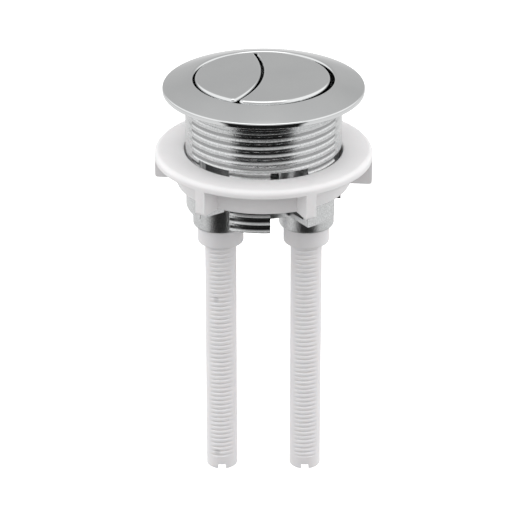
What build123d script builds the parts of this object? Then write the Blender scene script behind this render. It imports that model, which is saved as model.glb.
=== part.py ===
from build123d import *
from math import sqrt
import os

# Push-button actuator for a dual-flush cistern. Millimetres and degrees, +Z up.
# The origin is the centre of the flange's underside, where it sits on the cistern lid.
# Turns about Z are counted from the front (-Y) towards +X.

# Flange and threaded barrel
thread_diameter = 58.3
thread_depth = 0.75
neck_diameter = 58.5
neck_length = 4.4
relief_width = 0.8
flange_diameter = 75.0
rim_height = 1.85
crown_height = 5.35
opening_diameter = 52.2
barrel_length = 45.0
floor_thickness = 2.0
rim_edge_radius = 1.2
mouth_edge_radius = 1.0

# Castellated lower end of the barrel
notch_count = 6
notch_angle = 29.4
notch_turn = 19.6
notch_height = 24.0
notch_root_diameter = 33.0

# Guide tubes, moulded in one with the barrel's floor
rod_spacing = 32.4
guide_bore = 17.6
guide_wall = 1.6
guide_top = -16.0
guide_drop = 9.1
guide_shoulder = 2.0
guide_end_radius = 0.9

# Buttons: one disc cut in two along an arc that bulges towards the full-flush side
button_diameter = 50.2
button_shift = -0.4
button_top = 5.5
button_skirt = 8.8
button_roof = 1.6
button_wall = 1.4
button_gap = 0.8
button_edge_radius = 1.3
button_corner_radius = 1.8
division_radius = 51.8
division_x = -0.4
division_y = 7.2
socket_wall = 1.2
socket_depth = 5.2

# Plungers: a stem under each button and a threaded sleeve for the push rod
stem_diameter = 7.6
sleeve_drop = 7.0
sleeve_roof = 4.0
sleeve_edge_radius = 0.4

# Return springs
spring_diameter = 11.2
spring_wire = 0.8
spring_turns = 6

# Push rods
rod_diameter = 12.0
rod_length = 114.0
rod_drop = 96.5
rod_top_chamfer = 0.8
rod_end_radius = 0.5
slot_width = 2.8
slot_depth = 2.0

# Clamp nut
nut_flange_diameter = 81.6
nut_flange_thickness = 3.2
nut_height = 12.7
nut_hub_diameter = 65.4
nut_drop = 23.1
nut_mouth_radius = 0.5
nut_upper_radius = 1.8
nut_lower_radius = 0.4
nut_hub_edge_radius = 0.6
fin_count = 6
fin_turn = 25.2
fin_thickness = 3.9
fin_corner_radius = 1.0

# Clearances
running_clearance = 0.1
screw_clearance = 0.4
seat_gap = 0.3
socket_clearance = 0.05
spring_end_gap = 0.1

# How far cutters and ribs reach past the faces they cut or join
overrun = 1.0

# Levels and radii that follow from the sizes above
thread_radius = thread_diameter / 2
neck_radius = neck_diameter / 2
mouth_radius = opening_diameter / 2
guide_radius = guide_bore / 2 + guide_wall
guide_bottom = -barrel_length - guide_drop
sleeve_radius = guide_bore / 2 - running_clearance
sleeve_top = guide_top - guide_shoulder - seat_gap
sleeve_bottom = guide_bottom - sleeve_drop
stem_radius = stem_diameter / 2
rod_radius = rod_diameter / 2
rod_bottom = sleeve_bottom - rod_drop
button_underside = button_top - button_roof
button_bottom = button_top - button_skirt
sides = {"half_flush": -rod_spacing / 2, "full_flush": rod_spacing / 2}


def turned(corners, rounds=None):
    """Solid turned about Z from (radius, height) corners, with the listed corners rounded."""
    outline = make_face(Polyline(*corners, close=True))
    for corner, radius in (rounds or {}).items():
        nearest = outline.vertices().sort_by_distance((*corner, 0))[0]
        outline = fillet(nearest, radius)
    return revolve(Plane.XZ * outline, Axis.Z)


def drum(radius, low, high):
    """Upright cylinder on the Z axis between two heights."""
    return Pos(0, 0, low) * extrude(Circle(radius), high - low)


def barrel_notches():
    """Sectors that cut the barrel's wall and floor into tabs."""
    reach = thread_radius + overrun
    root = notch_root_diameter / 2
    low = -barrel_length
    section = Plane.XZ * Pos((root + reach) / 2, low + notch_height / 2) * Rectangle(reach - root, notch_height)
    sector = revolve(section, Axis.Z, notch_angle)
    start = notch_turn - 90 - notch_angle / 2
    pitch = 360 / notch_count
    return [Rot(0, 0, start + pitch * number) * sector for number in range(notch_count)]


def guide_tube():
    """Outside of one guide tube, from inside the barrel to its rounded lower end."""
    lower_edge = (guide_radius, guide_bottom)
    corners = [(0, guide_bottom), lower_edge, (guide_radius, guide_top), (0, guide_top)]
    return turned(corners, {lower_edge: guide_end_radius})


def guide_bores():
    """Bore for the plunger's sleeve, ending in a shoulder with a hole for its stem."""
    shoulder = guide_top - guide_shoulder
    bore = drum(guide_bore / 2, guide_bottom, shoulder)
    return bore + drum(stem_radius + running_clearance, shoulder, guide_top)


def housing():
    """Flange, threaded barrel, castellated floor and the guide tubes: one plated moulding."""
    mouth_edge = (mouth_radius, crown_height)
    rim_edge = (flange_diameter / 2, rim_height)
    floor_top = floor_thickness - barrel_length
    relief_radius = thread_radius - thread_depth
    thread_top = -neck_length - relief_width
    corners = [
        mouth_edge,
        rim_edge,
        (flange_diameter / 2, 0),
        (neck_radius, 0),
        (neck_radius, -neck_length),
        (relief_radius, -neck_length),
        (relief_radius, thread_top),
        (thread_radius, thread_top),
        (thread_radius, -barrel_length),
        (0, -barrel_length),
        (0, floor_top),
        (mouth_radius, floor_top),
    ]
    shell = turned(corners, {mouth_edge: mouth_edge_radius, rim_edge: rim_edge_radius})
    shell -= barrel_notches()
    shell += [Pos(x, 0, 0) * guide_tube() for x in sides.values()]
    return shell - [Pos(x, 0, 0) * guide_bores() for x in sides.values()]


def button_outline(side, inset=0):
    """Plan of one button: the disc inside the dividing arc, or the rest of it outside."""
    disc = Pos(button_shift, 0) * Circle(button_diameter / 2 - inset)
    centre = Pos(division_x - division_radius, division_y)
    margin = button_gap / 2 + inset
    if side == "half_flush":
        plan = disc & centre * Circle(division_radius - margin)
    else:
        plan = disc - centre * Circle(division_radius + margin)
    return fillet(plan.vertices(), button_corner_radius)


def button(side):
    """Hollow button with rounded top edges and a socket that is pushed on the plunger's stem."""
    cap = Pos(0, 0, button_bottom) * extrude(button_outline(side), button_skirt)
    cap = fillet(cap.faces().sort_by(Axis.Z)[-1].edges(), button_edge_radius)
    hollow = extrude(button_outline(side, button_wall), button_skirt - button_roof)
    cap -= Pos(0, 0, button_bottom) * hollow
    socket_bore = stem_radius + socket_clearance
    socket = drum(socket_bore + socket_wall, button_underside - socket_depth, button_underside)
    socket -= drum(socket_bore, button_underside - socket_depth, button_underside)
    return cap + Pos(sides[side], 0, 0) * socket


def plunger():
    """Stem and sleeve in one moulding; the sleeve is bored from below for the push rod."""
    bore = rod_radius + screw_clearance
    bore_top = sleeve_top - sleeve_roof
    lower_edge = (sleeve_radius, sleeve_bottom)
    return turned([
        (0, bore_top),
        (bore, bore_top),
        (bore, sleeve_bottom),
        lower_edge,
        (sleeve_radius, sleeve_top),
        (stem_radius, sleeve_top),
        (stem_radius, button_underside),
        (0, button_underside),
    ], {lower_edge: sleeve_edge_radius})


def spring():
    """Round-wire return spring between the guide's shoulder and the button's underside."""
    wire = spring_wire / 2
    low = guide_top + spring_end_gap + wire
    high = button_underside - spring_end_gap - wire
    coil = Pos(0, 0, low) * Helix((high - low) / spring_turns, high - low, spring_diameter / 2)
    return sweep(Plane(coil @ 0, z_dir=coil % 0) * Circle(wire), coil, is_frenet=True)


def push_rod():
    """Rod that screws up into the sleeve, with a screwdriver slot across its lower end."""
    top = rod_bottom + rod_length
    lower_edge = (rod_radius, rod_bottom)
    shape = turned([
        (0, rod_bottom),
        lower_edge,
        (rod_radius, top - rod_top_chamfer),
        (rod_radius - rod_top_chamfer, top),
        (0, top),
    ], {lower_edge: rod_end_radius})
    slot = Box(slot_width, 2 * rod_diameter, slot_depth, align=(Align.CENTER, Align.CENTER, Align.MIN))
    return shape - Pos(0, 0, rod_bottom) * slot


def nut_fin(flange_radius, top, bottom):
    """One radial finger grip under the nut's flange, rounded at its lower outer corner."""
    root = nut_hub_diameter / 2 - overrun
    reach = sqrt(flange_radius ** 2 - (fin_thickness / 2) ** 2)
    outline = Pos((root + reach) / 2, (top + bottom) / 2) * Rectangle(reach - root, top - bottom)
    outer_corner = outline.vertices().sort_by_distance((reach, bottom, 0))[0]
    outline = fillet(outer_corner, fin_corner_radius)
    return extrude(Plane.XZ * outline, fin_thickness / 2, both=True)


def clamp_nut():
    """Flanged nut for the barrel's thread, with radial fins to turn it by hand."""
    flange_radius = nut_flange_diameter / 2
    bore = thread_radius + screw_clearance
    top = -nut_drop
    flange_bottom = top - nut_flange_thickness
    bottom = top - nut_height
    hub = nut_hub_diameter / 2
    mouth_edge = (bore, top)
    upper_edge = (flange_radius, top)
    lower_edge = (flange_radius, flange_bottom)
    hub_edge = (hub, bottom)
    rounds = {
        mouth_edge: nut_mouth_radius,
        upper_edge: nut_upper_radius,
        lower_edge: nut_lower_radius,
        hub_edge: nut_hub_edge_radius,
    }
    corners = [mouth_edge, upper_edge, lower_edge, (hub, flange_bottom), hub_edge, (bore, bottom)]
    shape = turned(corners, rounds)
    fin = nut_fin(flange_radius, flange_bottom + nut_lower_radius, bottom)
    pitch = 360 / fin_count
    return shape + [Rot(0, 0, fin_turn - 90 + pitch * number) * fin for number in range(fin_count)]


os.makedirs("parts", exist_ok=True)
nodes = {"housing": housing(), "clamp_nut": clamp_nut()}
for side, x in sides.items():
    nodes[side + "_button"] = button(side)
    nodes[side + "_plunger"] = Pos(x, 0, 0) * plunger()
    nodes[side + "_spring"] = Pos(x, 0, 0) * spring()
    nodes[side + "_rod"] = Pos(x, 0, 0) * push_rod()
for name, solid in nodes.items():
    export_step(solid, "parts/" + name + ".step")
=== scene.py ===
import bmesh
import bpy
import numpy as np
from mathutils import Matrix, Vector
from mathutils.geometry import delaunay_2d_cdt


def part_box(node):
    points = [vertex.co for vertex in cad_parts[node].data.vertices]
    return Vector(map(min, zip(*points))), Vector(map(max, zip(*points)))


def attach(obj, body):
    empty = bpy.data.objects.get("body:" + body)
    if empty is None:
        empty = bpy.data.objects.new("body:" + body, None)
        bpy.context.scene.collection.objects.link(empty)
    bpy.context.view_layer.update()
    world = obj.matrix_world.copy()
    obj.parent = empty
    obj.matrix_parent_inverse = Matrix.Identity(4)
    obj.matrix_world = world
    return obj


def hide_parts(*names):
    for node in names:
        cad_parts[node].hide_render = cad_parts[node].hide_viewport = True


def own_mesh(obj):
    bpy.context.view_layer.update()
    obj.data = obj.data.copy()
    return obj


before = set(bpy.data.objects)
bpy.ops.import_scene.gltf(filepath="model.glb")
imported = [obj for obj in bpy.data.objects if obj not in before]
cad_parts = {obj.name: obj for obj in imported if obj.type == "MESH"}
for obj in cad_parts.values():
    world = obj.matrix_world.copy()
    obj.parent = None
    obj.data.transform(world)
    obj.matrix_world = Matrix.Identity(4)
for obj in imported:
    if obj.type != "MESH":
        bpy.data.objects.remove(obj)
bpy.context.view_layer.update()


# Housing: the flange, the notched barrel with its floor and the two guide tubes. They are one
# moulding in ABS, plated all over with chromium: bright on the polished flange, satin below it.
# The barrel's thread runs out to a smooth strip on each side, where the mould's halves met.
mm = 0.001
housing_low, housing_high = (np.array(corner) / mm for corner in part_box("housing"))
flange_radius = housing_high[0]
flange_edge_rounding = 0.25
rim_height = 1.85
rim_rounding = 0.7
mouth_radius = 26.1
mouth_height = 5.35
mouth_rounding = 1.0
neck_radius = 29.25
neck_end = -4.4
neck_rounding = 0.15
relief_radius = 28.85
thread_radius = 29.15
thread_top = -5.2
floor_top = -43.0
barrel_end = -45.0
tab_top = -21.0
notch_root = 16.5
notch_angle = 29.4
notch_turn = 19.6
notch_pitch = 60.0
tube_places = (-16.2, 16.2)
tube_radius = 10.4
tube_bore = 8.8
tube_top = -16.0
tube_top_rounding = 0.3
tube_shoulder = -18.0
tube_end = housing_low[2]
tube_end_rounding = 0.9
stem_hole = 3.9
weld_distance = 0.002


def rounded(corners, steps=6):
    """Profile through (radius, height, rounding) corners. A rounded corner becomes the arc that
    touches both its sides, its points found by turning from one touching point to the other."""
    stretches = []
    for before, corner, after in zip(corners[:1] + corners[:-1], corners, corners[1:] + corners[-1:]):
        place = np.array(corner[:2])
        rounding = corner[2]
        if rounding == 0:
            stretches.append(place[None])
            continue
        back, ahead = (np.array(other[:2]) - place for other in (before, after))
        back, ahead = back / np.linalg.norm(back), ahead / np.linalg.norm(ahead)
        half = np.arccos(back @ ahead) / 2
        middle = (back + ahead) / np.linalg.norm(back + ahead)
        centre = place + middle * rounding / np.sin(half)
        start, end = (place + side * rounding / np.tan(half) - centre for side in (back, ahead))
        sweep = np.pi - 2 * half
        share = np.linspace(0, 1, steps + 1)[:, None]
        arc = np.sin((1 - share) * sweep) * start + np.sin(share * sweep) * end
        stretches.append(centre + arc / np.sin(sweep))
    return np.concatenate(stretches)


def around(turn, radius, height):
    """Points at a turn about Z (radians from the front towards +X), a radius and a height, all on
    one grid."""
    turn, radius, height = np.broadcast_arrays(turn, radius, height)
    return np.stack([radius * np.sin(turn), -radius * np.cos(turn), height], -1)


def cells(grid):
    """Four corners of every cell of a grid of points. Rows to the right and columns up face
    outwards."""
    return np.stack([grid[:-1, :-1], grid[1:, :-1], grid[1:, 1:], grid[:-1, 1:]], 2).reshape(-1, 4, 3)


def piece(name, faces, material, body, sharp=35):
    """Object from arrays of face corners in millimetres, welded where corners meet. Edges that turn
    more than the sharp angle stay crisp."""
    points = np.concatenate([part.reshape(-1, 3) for part in faces]) * mm
    first = np.cumsum([0] + [part.shape[0] * part.shape[1] for part in faces])
    numbers = []
    for start, end, part in zip(first, first[1:], faces):
        numbers += np.arange(start, end).reshape(part.shape[:2]).tolist()
    mesh = bpy.data.meshes.new(name)
    mesh.from_pydata(points, [], numbers)
    shape = bmesh.new()
    shape.from_mesh(mesh)
    bmesh.ops.remove_doubles(shape, verts=shape.verts, dist=weld_distance * mm)
    shape.to_mesh(mesh)
    shape.free()
    mesh.shade_smooth()
    mesh.set_sharp_from_angle(angle=np.radians(sharp))
    mesh.materials.append(material)
    made = bpy.data.objects.new(name, mesh)
    bpy.context.scene.collection.objects.link(made)
    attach(made, body)
    return made


def smooth(value, low, high):
    """Soft step from 0 at low to 1 at high: 3 x squared minus 2 x cubed."""
    share = np.clip((value - low) / (high - low), 0, 1)
    return share * share * (3 - 2 * share)


def thread_groove(turn, height, pitch, crest, lower, upper, first_crest, runs_out):
    """Share of a thread's depth. The crest rises one pitch a turn; its lower and upper flanks slope
    to the root. The groove is whole at the front and back and fades between the angles of runs_out."""
    along = (height - first_crest) / pitch - turn / (2 * np.pi)
    above_crest = (along - np.round(along)) * pitch
    flank = np.where(above_crest > 0, upper, lower)
    share = np.clip((np.abs(above_crest) - crest / 2) / flank, 0, 1)
    whole, gone = np.cos(np.radians(runs_out))
    return share * smooth(np.abs(np.cos(turn)), gone, whole)


thread_pitch = 3.0
thread_depth = 0.6
thread_crest = 0.9
thread_lower_flank = 0.25
thread_upper_flank = 0.9
first_thread_crest = -6.2
thread_runs_out = (62, 74)
smooth_end_heights = (-34.0, -36.0)
smooth_end_sines = (0.35, 0.55)


def barrel_radius(turn, height):
    """Outside of the barrel: the crest's radius less the depth of its thread. The tabs' lower ends
    are smooth away from the front and back, where the sine of the turn is large."""
    groove = thread_groove(
        turn, height, pitch=thread_pitch, crest=thread_crest, lower=thread_lower_flank,
        upper=thread_upper_flank, first_crest=first_thread_crest, runs_out=thread_runs_out)
    smooth_end = smooth(height, *smooth_end_heights) * smooth(np.abs(np.sin(turn)), *smooth_end_sines)
    return thread_radius - thread_depth * groove * (1 - smooth_end)


tab_angle = notch_pitch - notch_angle
first_tab = notch_turn - notch_angle / 2 - tab_angle
part_steps = 20
one_pitch = np.append(
    np.linspace(0, tab_angle, part_steps, endpoint=False),
    np.linspace(tab_angle, notch_pitch, part_steps, endpoint=False))
barrel_turns = np.radians(first_tab + np.append(
    (np.arange(0, 360, notch_pitch)[:, None] + one_pitch).ravel(), 360))
part_starts = np.arange(0, len(barrel_turns) - 1, part_steps)
parts_round = [barrel_turns[start:start + part_steps + 1] for start in part_starts]
tabs = parts_round[::2]
notches = parts_round[1::2]
hole_steps = 64
whole_net = 0
net_tolerance = 1e-5


def castellated(tab_outline, height, facing_up):
    """Triangles of the barrel's floor at one height. The rim runs along the tabs' outline and back to
    the root of each notch. A Delaunay net over the rim and the tubes' circles is kept on the floor."""
    rim = np.concatenate([
        np.concatenate([around(tab, tab_outline(tab), height), around(notch, notch_root, height)])[:, :2]
        for tab, notch in zip(tabs, notches)
    ])
    wall = (tube_radius + tube_bore) / 2
    circle = np.linspace(0, 2 * np.pi, hole_steps, endpoint=False)
    ring = np.stack([wall * np.cos(circle), wall * np.sin(circle)], -1)
    loops = [rim] + [ring + np.array([x, 0]) for x in tube_places]
    edges = []
    for loop in loops:
        number = len(edges) + np.arange(len(loop))
        edges += np.stack([number, np.roll(number, -1)], -1).tolist()
    points = [Vector(point) for point in np.concatenate(loops)]
    net = delaunay_2d_cdt(points, edges, [], whole_net, net_tolerance)
    corners = np.array([tuple(point) for point in net[0]])[np.array(net[2])]
    middle = corners.mean(1)
    reach = np.hypot(*middle.T)
    turn = np.arctan2(middle[:, 0], -middle[:, 1])
    on_tab = ((np.degrees(turn) - first_tab) % notch_pitch < tab_angle) & (reach < tab_outline(turn))
    on_floor = on_tab | (reach < notch_root)
    for x in tube_places:
        on_floor &= np.hypot(middle[:, 0] - x, middle[:, 1]) > wall
    flat = np.pad(corners[on_floor], ((0, 0), (0, 0), (0, 1)), constant_values=height)
    return flat if facing_up else flat[:, ::-1]


def shader_node(tree, kind, inputs, **settings):
    """New shader node. Its settings are made first; then each input, by name or number, is set to a
    plain value or linked to the output that is given for it."""
    made = tree.nodes.new(kind)
    for name, setting in settings.items():
        setattr(made, name, setting)
    for key, value in inputs.items():
        if isinstance(value, bpy.types.NodeSocket):
            tree.links.new(value, made.inputs[key])
        else:
            made.inputs[key].default_value = value
    return made


def arithmetic(tree, operation, *values):
    """Output of a Math node on plain values and other nodes' outputs."""
    made = shader_node(tree, "ShaderNodeMath", dict(enumerate(values)), operation=operation)
    return made.outputs["Value"]


def ranged(tree, value, source, target=(0.0, 1.0), course="LINEAR"):
    """Value carried from the source range to the target range and held at its ends, in a straight
    line or, with SMOOTHSTEP, in a soft step."""
    made = shader_node(tree, "ShaderNodeMapRange", {
        "Value": value,
        "From Min": source[0],
        "From Max": source[1],
        "To Min": target[0],
        "To Max": target[1],
    }, interpolation_type=course)
    return made.outputs["Result"]


def blend(tree, factor, first, second, way="MIX"):
    """Colour that goes from the first to the second with a factor from 0 to 1 or, with MULTIPLY, from
    the first to the product of both."""
    inputs = {"Factor": factor, "A": first, "B": second}
    made = shader_node(tree, "ShaderNodeMix", inputs, data_type="RGBA", blend_type=way)
    return made.outputs["Result"]


def grey(tone):
    """Colour with the same red, green and blue."""
    return tone, tone, tone, 1


noise_middle = (0.3, 0.7)


def unevenness_group():
    """Shader group: a mask from 0 to 1 that wanders over the surface. It is noise on Object
    coordinates, with its middle values spread over the whole range."""
    group = bpy.data.node_groups.new("finish_unevenness", "ShaderNodeTree")
    group.interface.new_socket("Scale", in_out="INPUT", socket_type="NodeSocketFloat")
    group.interface.new_socket("Detail", in_out="INPUT", socket_type="NodeSocketFloat")
    group.interface.new_socket("Mask", in_out="OUTPUT", socket_type="NodeSocketFloat")
    given = shader_node(group, "NodeGroupInput", {})
    place = shader_node(group, "ShaderNodeTexCoord", {})
    noise = shader_node(group, "ShaderNodeTexNoise", {
        "Vector": place.outputs["Object"],
        "Scale": given.outputs["Scale"],
        "Detail": given.outputs["Detail"],
    })
    shader_node(group, "NodeGroupOutput", {"Mask": ranged(group, noise.outputs["Fac"], noise_middle)})
    return group


finish_unevenness = unevenness_group()


def unevenness(tree, scale, detail):
    """Mask of the shader group, placed in a material with its own values."""
    inputs = {"Scale": scale, "Detail": detail}
    made = shader_node(tree, "ShaderNodeGroup", inputs, node_tree=finish_unevenness)
    return made.outputs["Mask"]


def finish(name, colours, roughness, patches, grain, relief):
    """Material whose colour and roughness wander between two values over patches, with a relief of
    fine grain. Patches and grain are each a scale and a detail of the noise; relief is in mm."""
    material = bpy.data.materials.new(name)
    material.use_nodes = True
    tree = material.node_tree
    shader = tree.nodes["Principled BSDF"]
    over_patches = unevenness(tree, *patches)
    over_grain = unevenness(tree, *grain)
    tint = blend(tree, over_patches, (*colours[0], 1), (*colours[1], 1))
    polish = ranged(tree, over_patches, (0.0, 1.0), roughness)
    bump = shader_node(
        tree, "ShaderNodeBump", {"Height": over_grain, "Strength": 1.0, "Distance": relief * mm})
    tree.links.new(tint, shader.inputs["Base Color"])
    tree.links.new(polish, shader.inputs["Roughness"])
    tree.links.new(bump.outputs["Normal"], shader.inputs["Normal"])
    return material, shader


chrome, chrome_shader = finish(
    "chrome_plating", colours=((0.75, 0.76, 0.765), (0.79, 0.80, 0.80)), roughness=(0.03, 0.06),
    patches=(60, 3), grain=(1700, 2), relief=0.015)
chrome_shader.inputs["Metallic"].default_value = 1.0


def satin_below(
        material, shader, height, depth, roughness, polished_grain, tube_reach, tube_grain, root_radius,
        root_band, pits, root_shade_and_pit_tone):
    """Makes a finish satin below a height, over a short depth: rougher, with all of its grain, of
    which little is left above. The tubes lie inside the two radii of tube_reach and are the roughest,
    with a deeper grain. Pits of the grain are darker; painted shade darkens the thread's roots."""
    tree = material.node_tree
    polish = shader.inputs["Roughness"].links[0].from_socket
    colour = shader.inputs["Base Color"].links[0].from_socket
    bump = shader.inputs["Normal"].links[0].from_node
    grain = bump.inputs["Height"].links[0].from_socket
    relief = bump.inputs["Distance"].default_value
    place = shader_node(tree, "ShaderNodeTexCoord", {}).outputs["Object"]
    parts = shader_node(tree, "ShaderNodeSeparateXYZ", {"Vector": place})
    below = ranged(tree, parts.outputs["Z"], (height * mm, (height - depth) * mm))
    flat = shader_node(tree, "ShaderNodeVectorMath", {0: place, 1: (1, 1, 0)}, operation="MULTIPLY")
    length = shader_node(tree, "ShaderNodeVectorMath", {0: flat.outputs["Vector"]}, operation="LENGTH")
    from_axis = length.outputs["Value"]
    tube_limits = [radius * mm for radius in tube_reach]
    satin = ranged(tree, from_axis, tube_limits, roughness)
    dulled = arithmetic(tree, "MULTIPLY_ADD", below, satin, polish)
    grain_share = ranged(tree, below, (0.0, 1.0), (polished_grain, 1.0))
    grain_depth = ranged(tree, from_axis, tube_limits, (tube_grain * relief, relief))
    # Painted shade: the thread's roots are darkened in the base colour, together with the grain's pits.
    root_shade = arithmetic(tree, "COMPARE", from_axis, root_radius * mm, root_band * mm)
    hollow = arithmetic(tree, "MAXIMUM", root_shade, arithmetic(tree, "MULTIPLY", grain, pits))
    root_shade_and_pits_below = arithmetic(tree, "MULTIPLY", below, hollow)
    toned = blend(tree, root_shade_and_pits_below, colour, grey(root_shade_and_pit_tone), way="MULTIPLY")
    tree.links.new(dulled, shader.inputs["Roughness"])
    tree.links.new(grain_share, bump.inputs["Strength"])
    tree.links.new(grain_depth, bump.inputs["Distance"])
    tree.links.new(toned, shader.inputs["Base Color"])


root_radius = thread_radius - thread_depth
# The thread's roots get painted shade at this tone; the grain's pits are darkened with it.
satin_below(
    chrome, chrome_shader, height=-0.1, depth=0.5, roughness=(0.27, 0.18), polished_grain=0.01,
    tube_reach=(root_radius - 1.0, root_radius - 0.5), tube_grain=3, root_radius=root_radius,
    root_band=0.2, pits=0.48, root_shade_and_pit_tone=0.52)

thread_rows = 127
tab_rows = 193
head = rounded([
    (relief_radius, neck_end, 0),
    (neck_radius, neck_end, neck_rounding),
    (neck_radius, 0, 0),
    (flange_radius, 0, flange_edge_rounding),
    (flange_radius, rim_height, rim_rounding),
    (mouth_radius, mouth_height, mouth_rounding),
    (mouth_radius, tab_top, 0),
])
thread_heights = np.append(np.linspace(tab_top, thread_top, thread_rows), [thread_top, neck_end])
thread_skin = barrel_radius(barrel_turns[:, None], thread_heights)
thread_skin[:, thread_rows:] = relief_radius
housing_faces = [
    cells(around(barrel_turns[:, None], head[:, 0], head[:, 1])),
    cells(around(barrel_turns[:, None], thread_skin, thread_heights)),
    castellated(lambda tab: np.full_like(tab, mouth_radius), floor_top, facing_up=True),
    castellated(lambda tab: barrel_radius(tab, barrel_end), barrel_end, facing_up=False),
]
tab_heights = np.linspace(barrel_end, tab_top, tab_rows)
for tab, notch in zip(tabs, notches):
    outside = barrel_radius(tab[:, None], tab_heights)
    housing_faces.append(cells(around(tab[:, None], outside, tab_heights)))
    housing_faces.append(cells(around(tab[:, None], mouth_radius, np.array([tab_top, floor_top]))))
    for edge, order in ((tab[-1], -1), (tab[0], 1)):
        inner = [mouth_radius, mouth_radius, notch_root, notch_root]
        reach = np.append(barrel_radius(edge, tab_heights), inner)
        level = np.append(tab_heights, [tab_top, floor_top, floor_top, barrel_end])
        housing_faces.append(around(edge, reach, level)[None, ::order])
    ceiling = np.stack([np.full_like(notch, mouth_radius), barrel_radius(notch, tab_top)], -1)
    housing_faces.append(cells(around(notch[:, None], ceiling, tab_top)))
    # The wall at a notch's root is left out where it would cross the bore of a tube.
    root = cells(around(notch[:, None], notch_root, np.array([barrel_end, floor_top])))
    middle = np.abs(root.mean(1))
    housing_faces.append(root[np.hypot(middle[:, 0] - tube_places[1], middle[:, 1]) > tube_bore])
tube = rounded([
    (tube_bore, tube_end, 0),
    (tube_radius, tube_end, tube_end_rounding),
    (tube_radius, tube_top, tube_top_rounding),
    (stem_hole, tube_top, 0),
    (stem_hole, tube_shoulder, 0),
    (tube_bore, tube_shoulder, 0),
    (tube_bore, tube_end, 0),
])
tube_steps = 96
tube_turns = np.linspace(0, 2 * np.pi, tube_steps + 1)
for x in tube_places:
    upright = around(tube_turns[:, None], tube[:, 0], tube[:, 1])
    housing_faces.append(cells(upright + np.array([x, 0, 0])))
housing = piece("plated_housing", housing_faces, chrome, "housing")
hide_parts("housing")


# Return springs: cold-wound coils of bright spring wire, with the last turns closed flat. Each
# stands on its guide tube round the plunger's stem and lifts the button; it is drawn at rest.
spring_steel, steel_shader = finish(
    "spring_wire", colours=((0.44, 0.45, 0.47), (0.58, 0.59, 0.61)), roughness=(0.18, 0.32),
    patches=(300, 2), grain=(900, 1), relief=0.004)
steel_shader.inputs["Metallic"].default_value = 1.0
wire_radius = 0.4
wire_steps = 14
spring_turns = 7
turn_steps = 64
closed_turns = 0.8
sides = ("half_flush", "full_flush")


def coil(low, high, radius):
    """Round wire carried along a helix whose first and last turns lie flat, closed at both ends."""
    turn = np.linspace(0, spring_turns, turn_steps * spring_turns + 1)
    rise = np.clip((turn - closed_turns) / (spring_turns - 2 * closed_turns), 0, 1)
    height = low + wire_radius + (high - low - 2 * wire_radius) * rise
    section = np.linspace(0, 2 * np.pi, wire_steps + 1)
    thick = np.pad(np.full(len(turn), wire_radius), 1)[:, None]
    path = np.pad(turn, 1, mode="edge")[:, None] * 2 * np.pi
    level = np.pad(height, 1, mode="edge")[:, None]
    return cells(around(path, radius + thick * np.cos(section), level + thick * np.sin(section)))


for side in sides:
    low, high = (np.array(corner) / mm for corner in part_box(side + "_spring"))
    centre = np.array([(low[0] + high[0]) / 2, (low[1] + high[1]) / 2, 0])
    wound = coil(low[2], high[2], (high[0] - low[0]) / 2 - wire_radius) + centre
    spring = piece(side + "_return_spring", [wound], spring_steel, "housing", sharp=60)
    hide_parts(side + "_spring")
    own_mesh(spring)


# Plungers: a stem and a sleeve in one white moulding. The stem is pushed up into the button, the
# sleeve slides in the guide tube, and its lower end shows below the tube as a collar round the rod.
rod_plastic, rod_shader = finish(
    "rod_plastic", colours=((0.86, 0.845, 0.855), (0.89, 0.875, 0.885)), roughness=(0.4, 0.52),
    patches=(90, 3), grain=(700, 3), relief=0.006)
rod_shader.inputs["Subsurface Weight"].default_value = 0.6
rod_shader.inputs["Subsurface Radius"].default_value = (1.0, 0.95, 0.9)
rod_shader.inputs["Subsurface Scale"].default_value = 2.0 * mm


def dress(solid, material):
    """Gives a solid of the frame its finish."""
    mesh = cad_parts[solid].data
    mesh.materials.clear()
    mesh.materials.append(material)


for side in sides:
    dress(side + "_plunger", rod_plastic)


# Buttons: two hollow caps that share one round opening, parted by a curved gap. They are moulded in
# ABS and plated like the flange, and each is pushed on the stem of its plunger.
for side in sides:
    dress(side + "_button", chrome)


# Push rods: long white rods, moulded in one, that screw up into the sleeves to set their length. The
# grooves are deepest at front and back and run out at the sides; a screwdriver slot crosses the end.
rod_pitch = 1.85
rod_groove = 0.32
rod_crest = 0.8
rod_flank = 0.42
rod_runs_out = (16, 51)
first_crests = {"half_flush": 1.33, "full_flush": 0.76}
plain_end = 5.2
groove_fade = 0.3
slot_half = 1.4
slot_depth = 2.0
end_rounding = 0.5
top_chamfer = 0.8
rod_rows = 580
block_steps = 40
bend_steps = 6
gap_steps = 6


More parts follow.
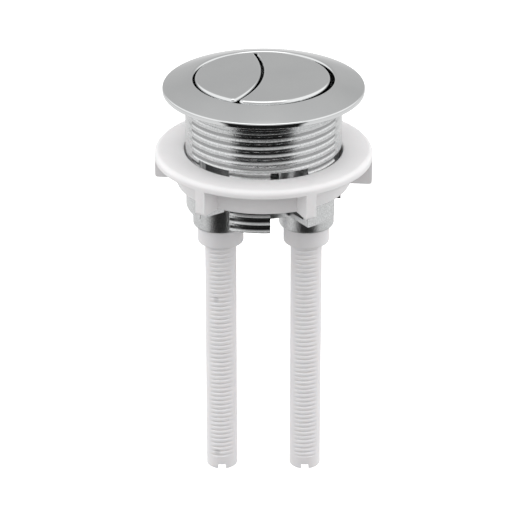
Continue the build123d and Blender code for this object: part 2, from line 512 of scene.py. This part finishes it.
def push_rod(low, high, first_crest):
    """Threaded rod: a round skin less the thread's grooves, closed on top. Below the slot's depth it
    is two blocks, each bounded by the skin between the slot's edges, the slot's wall and a flat end."""
    radius = (high[0] - low[0]) / 2
    slot_roof = low[2] + slot_depth
    chamfer_start = high[2] - top_chamfer
    bend = np.radians(np.linspace(-90, 0, bend_steps + 1))
    block_radius = np.append(radius - end_rounding + end_rounding * np.cos(bend), radius)
    block_height = low[2] + np.append(end_rounding + end_rounding * np.sin(bend), slot_depth)
    edge = np.arcsin(slot_half / block_radius)
    share = np.linspace(0, 1, block_steps + 1)[:, None]
    skin = around(edge + share * (np.pi - 2 * edge), block_radius, block_height)
    chord = skin[:, :1] * np.array([0, 1, 1]) + np.array([slot_half, 0, 0])
    wall = np.concatenate([skin[0], skin[-1][::-1], chord[-2:0:-1, 0]])
    block = [cells(skin), cells(np.concatenate([chord, skin[:, :1]], 1)), wall[None]]
    other_block = [part * np.array([-1, -1, 1]) for part in block]
    gap = np.linspace(-edge[-1], edge[-1], gap_steps + 1)
    roof = around(np.stack([np.pi - gap, gap], -1), radius, slot_roof)
    side = np.linspace(edge[-1], np.pi - edge[-1], block_steps + 1)
    turn = np.concatenate([side[:-1], np.pi + gap[:-1], np.pi + side[:-1], 2 * np.pi + gap])[:, None]
    height = np.linspace(slot_roof, chamfer_start, rod_rows)
    groove = thread_groove(
        turn, height - low[2], pitch=rod_pitch, crest=rod_crest, lower=rod_flank, upper=rod_flank,
        first_crest=first_crest, runs_out=rod_runs_out)
    groove = groove * smooth(height, low[2] + plain_end, low[2] + plain_end + groove_fade)
    groove = groove * smooth(height, chamfer_start, chamfer_start - groove_fade)
    body = around(turn, radius - rod_groove * groove, height)
    top_radius = np.array([radius, radius - top_chamfer, 0])
    top = around(turn, top_radius, np.array([chamfer_start, high[2], high[2]]))
    return block + other_block + [cells(roof), cells(body), cells(top)]


def moulding_marks(material, shader, marks, core, tone):
    """Darkens a finish in soft spots, each given by its place and radius and even over the core's
    share of the radius: faint scars of the mould's pins."""
    tree = material.node_tree
    place = shader_node(tree, "ShaderNodeTexCoord", {}).outputs["Object"]
    for centre, radius in marks:
        away = shader_node(
            tree, "ShaderNodeVectorMath", {0: place, 1: np.array(centre) * mm}, operation="DISTANCE")
        spot = ranged(tree, away.outputs["Value"], (radius * mm, core * radius * mm))
        colour = shader.inputs["Base Color"].links[0].from_socket
        toned = blend(tree, spot, colour, grey(tone), way="MULTIPLY")
        tree.links.new(toned, shader.inputs["Base Color"])


rod_marks = (((-18.0, -5.5, -83.7), 1.4), ((-18.0, -5.5, -150.0), 1.6))
moulding_marks(rod_plastic, rod_shader, rod_marks, core=0.4, tone=0.8)

for side, body in (("half_flush", "half_rod"), ("full_flush", "full_rod")):
    low, high = (np.array(corner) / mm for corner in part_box(side + "_rod"))
    centre = np.array([(low[0] + high[0]) / 2, (low[1] + high[1]) / 2, 0])
    rod_faces = [part + centre for part in push_rod(low - centre, high - centre, first_crests[side])]
    rod = piece(side + "_threaded_rod", rod_faces, rod_plastic, body, sharp=50)
    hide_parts(side + "_rod")


# Clamp nut: a white flanged nut with six fins to turn it by hand, moulded in one. It screws up the
# barrel to clamp the cistern lid under the flange; its thread is a low ridge wound round the bore.
nut_plastic, nut_shader = finish(
    "nut_plastic", colours=((0.83, 0.82, 0.825), (0.865, 0.855, 0.86)), roughness=(0.5, 0.6),
    patches=(70, 3), grain=(600, 3), relief=0.004)
nut_shader.inputs["Specular IOR Level"].default_value = 0.3
nut_shader.inputs["Subsurface Weight"].default_value = 0.3
nut_shader.inputs["Subsurface Radius"].default_value = (1.0, 0.9, 0.9)
nut_shader.inputs["Subsurface Scale"].default_value = 2.0 * mm
dress("clamp_nut", nut_plastic)
nut_low, nut_high = (np.array(corner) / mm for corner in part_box("clamp_nut"))
nut_bore = 29.55
ridge_root = nut_bore + 0.1
ridge_rise = 0.4
root_half = 0.7
crest_half = 0.3
ridge_points = 301
ridge_low = nut_low[2] + 1.0
ridge_high = nut_high[2] - 3.2
ridge_inward = np.array([0, 0, ridge_rise, ridge_rise, 0])
ridge_level = np.array([-root_half, root_half, crest_half, -crest_half, -root_half])
ridge_size = np.pad(np.ones(ridge_points - 2), 1)[:, None]
ridge_turn = np.linspace(0, 2 * np.pi * (ridge_high - ridge_low) / thread_pitch, ridge_points)[:, None]
ridge_climb = ridge_low + thread_pitch * ridge_turn / (2 * np.pi)
ridge_grid = around(
    ridge_turn, ridge_root - ridge_inward * ridge_size, ridge_climb + ridge_level * ridge_size)
piece("nut_thread", [cells(ridge_grid)], nut_plastic, "nut", sharp=30)


# Studio: a pale floor just below the lowest reach of the rods, a surround that is brightest at the
# sides and overhead and dark on the camera's side, one soft light above, and the photograph's camera.
floor_level = -0.176
floor_half = 4.0
floor_plan = np.array([(-1, -1, 0), (1, -1, 0), (1, 1, 0), (-1, 1, 0)])
floor_mesh = bpy.data.meshes.new("floor")
floor_mesh.from_pydata(floor_half * floor_plan + np.array([0, 0, floor_level]), [], [(0, 1, 2, 3)])
floor = bpy.data.objects.new("floor", floor_mesh)
bpy.context.scene.collection.objects.link(floor)
floor_paint, floor_shader = finish(
    "floor_paper", colours=((0.90, 0.90, 0.90), (0.92, 0.92, 0.92)), roughness=(0.8, 0.9),
    patches=(4, 2), grain=(40, 2), relief=0.01)
floor_shader.inputs["Emission Color"].default_value = (1, 1, 1, 1)
floor_shader.inputs["Emission Strength"].default_value = 0.5
floor_mesh.materials.append(floor_paint)
floor.visible_glossy = False
floor.visible_diffuse = False

side_panel_edge = (0.5, 0.8)
side_panel_foot = (0.05, 0.2)
side_panel_tone = 1.08
overhead_edge = (0.86, 0.93)
overhead_tone = 0.92
dark_edge_below = (-0.65, -0.78)
dark_edge_above = (-0.61, -0.71)
dark_edge_change = (-0.42, -0.2)
dark_top = (0.24, 0.08)
dark_tone = 0.012
camera_side_edge = (0.1, -0.9)
side_glow_edge = (0.75, 0.96)
side_glow_foot = (-0.75, -0.3)
side_glow_top = (0.6, 0.2)
side_glow_tone = 1.85
mirrored_stops = (
    (-1.0, 0.02), (-0.93, 0.06), (-0.8, 0.36), (-0.5, 0.87), (-0.14, 0.74), (0.0, 0.60), (0.1, 0.55),
    (0.25, 0.53), (0.43, 0.51), (1.0, 0.64))
around_stops = ((-1.0, 0.38), (-0.3, 0.62), (0.0, 0.8), (0.25, 0.92), (0.5, 0.95), (1.0, 1.3))
front_stops = (
    (-1.0, 0.25), (-0.3, 0.34), (0.0, 0.48), (0.3, 0.78), (0.5, 1.18), (0.62, 1.35), (0.75, 1.35),
    (1.0, 1.45))


def surround():
    """World whose light depends on direction. The camera sees white; reflections meet grey tones with
    a dark sector on the camera's side; matt surfaces get soft light, less from the camera's side and
    more from the sides. Stops are pairs of a height, from -1 below to 1 above, and a grey; edges, feet
    and tops are limits of a soft step by direction."""
    world = bpy.data.worlds.new("studio_surround")
    world.use_nodes = True
    tree = world.node_tree
    direction = shader_node(tree, "ShaderNodeTexCoord", {}).outputs["Generated"]
    upward = shader_node(tree, "ShaderNodeSeparateXYZ", {"Vector": direction}).outputs["Z"]
    flat = shader_node(tree, "ShaderNodeVectorMath", {0: direction, 1: (1, 1, 0)}, operation="MULTIPLY")
    unit = shader_node(tree, "ShaderNodeVectorMath", {0: flat.outputs["Vector"]}, operation="NORMALIZE")
    compass = shader_node(tree, "ShaderNodeSeparateXYZ", {"Vector": unit.outputs["Vector"]})
    towards_back = compass.outputs["Y"]
    sideways = arithmetic(tree, "ABSOLUTE", compass.outputs["X"])

    def step(value, limits):
        """Soft step from 0 at the first limit to 1 at the second."""
        return ranged(tree, value, limits, course="SMOOTHSTEP")

    def product(first, second):
        """First times second."""
        return arithmetic(tree, "MULTIPLY", first, second)

    def by_height(stops):
        """Grey that runs straight from stop to stop."""
        share = ranged(tree, upward, (-1.0, 1.0))
        made = shader_node(tree, "ShaderNodeValToRGB", {"Fac": share})
        tones = made.color_ramp.elements
        for end, (height, tone) in zip(tones, (stops[0], stops[-1])):
            end.position = (height + 1) / 2
            end.color = grey(tone)
        for height, tone in stops[1:-1]:
            tones.new((height + 1) / 2).color = grey(tone)
        return made.outputs["Color"]

    side_panel = product(step(sideways, side_panel_edge), step(upward, side_panel_foot))
    dark_width = blend(
        tree, step(upward, dark_edge_change), step(towards_back, dark_edge_below),
        step(towards_back, dark_edge_above))
    dark = product(dark_width, step(upward, dark_top))
    mirrored = blend(tree, side_panel, by_height(mirrored_stops), grey(side_panel_tone))
    mirrored = blend(tree, step(upward, overhead_edge), mirrored, grey(overhead_tone))
    mirrored = blend(tree, dark, mirrored, grey(dark_tone))
    camera_side = step(towards_back, camera_side_edge)
    soft = blend(tree, camera_side, by_height(around_stops), by_height(front_stops))
    glow_band = product(step(upward, side_glow_foot), step(upward, side_glow_top))
    side_glow = product(step(sideways, side_glow_edge), glow_band)
    soft = blend(tree, side_glow, soft, grey(side_glow_tone))
    path = shader_node(tree, "ShaderNodeLightPath", {}).outputs
    in_mirror = product(path["Is Glossy Ray"], step(path["Diffuse Depth"], (1.0, 0.0)))
    seen = blend(tree, in_mirror, soft, mirrored)
    seen = blend(tree, path["Is Camera Ray"], seen, grey(1.0))
    tree.links.new(seen, tree.nodes["Background"].inputs["Color"])
    return world


bpy.context.scene.world = surround()
softbox = bpy.data.lights.new("overhead_softbox", "AREA")
softbox.shape = "RECTANGLE"
softbox.size = 0.6
softbox.size_y = 0.4
softbox.energy = 0.8
softbox_stand = bpy.data.objects.new("overhead_softbox", softbox)
softbox_stand.location = (0, -0.05, 0.8)
bpy.context.scene.collection.objects.link(softbox_stand)

image_side = 518
focal_length_pixels = 2894.213
camera_place = (-0.001704, -0.99211, 0.405771)
camera_tilt = 25.5886
camera_data = bpy.data.cameras.new("camera")
camera_data.sensor_width = 36.0
camera_data.lens = focal_length_pixels / image_side * camera_data.sensor_width
camera_data.clip_start = 0.01
camera_data.clip_end = 20.0
camera = bpy.data.objects.new("camera", camera_data)
camera.location = camera_place
camera.rotation_euler = (np.radians(90 - camera_tilt), 0, 0)
bpy.context.scene.collection.objects.link(camera)
bpy.context.scene.camera = camera
bpy.context.scene.view_settings.view_transform = "Standard"
